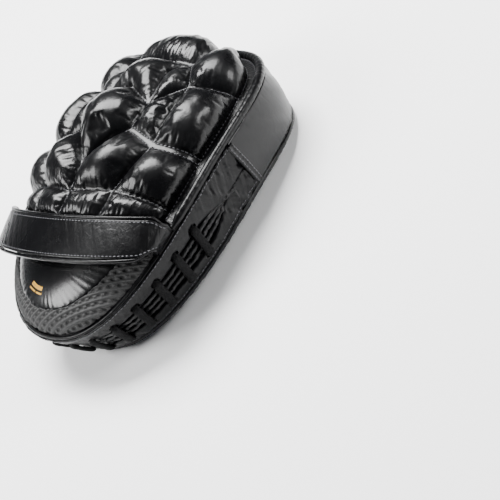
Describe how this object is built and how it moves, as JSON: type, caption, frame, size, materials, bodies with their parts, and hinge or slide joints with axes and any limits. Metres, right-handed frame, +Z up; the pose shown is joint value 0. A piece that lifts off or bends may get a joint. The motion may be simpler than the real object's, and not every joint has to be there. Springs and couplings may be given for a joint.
{
  "type": "focus mitt",
  "caption": "Curved padded hand target with a ringed striking face, laced wrist edge, quilted hand cover, palm dome and wrist strap.",
  "frame": {"origin": "centre of the mitt's footprint on the floor, under the curved striking face it lies on", "axes": "+Z up, from the striking face to the back of the hand; +Y toward the fingertips, the long way; +X across the hand"},
  "size_m": [0.1902, 0.2532, 0.1001],
  "materials": {
    "leather": "gloss",
    "lining": "matte",
    "spacer_mesh": "matte",
    "foam": "matte",
    "board": "matte",
    "lace": "satin"
  },
  "bodies": {
    "mitt": {"face_leather": "leather", "face_foam": "foam", "core_foam": "foam", "backing_board": "board", "back_foam": "foam", "hand_panel": "leather", "fingertip_gusset": "leather", "face_lip": "leather", "back_lip": "leather", "ply_edge_1": "leather", "ply_edge_2": "leather", "ply_edge_3": "leather", "lace": "lace", "seam_tape_right": "leather", "seam_tape_left": "leather", "face_welt": "leather", "back_welt": "leather", "shell_flange": "leather", "shell_lining": "lining", "scute_spine_mid": "leather", "scute_spine_high": "leather", "scute_spine_tip": "leather", "scute_crown_inner_right": "leather", "scute_crown_inner_left": "leather", "scute_crown_outer_right": "leather", "scute_crown_outer_left": "leather", "scute_mid_inner_right": "leather", "scute_mid_inner_left": "leather", "scute_mid_outer_right": "leather", "scute_mid_outer_left": "leather", "scute_low_inner_right": "leather", "scute_low_inner_left": "leather", "scute_low_outer_right": "leather", "scute_low_outer_left": "leather", "scute_hem_inner_right": "leather", "scute_hem_inner_left": "leather", "scute_hem_outer_right": "leather", "scute_hem_outer_left": "leather", "palm_foam": "foam", "heel_mesh": "spacer_mesh", "palm_pad": "leather"},
    "strap": {"wrist_strap": "leather", "strap_lining": "lining", "strap_binding_wrist": "leather", "strap_binding_finger": "leather"}
  },
  "joints": [
    {"name": "wrist_strap_swing", "type": "hinge", "parent": "mitt", "child": "strap", "pos_m": [0, -0.0476, 0.0597], "axis": [1, 0, 0], "range_deg": [0, 10], "stiffness_Nm_per_rad": 0.4}
  ]
}
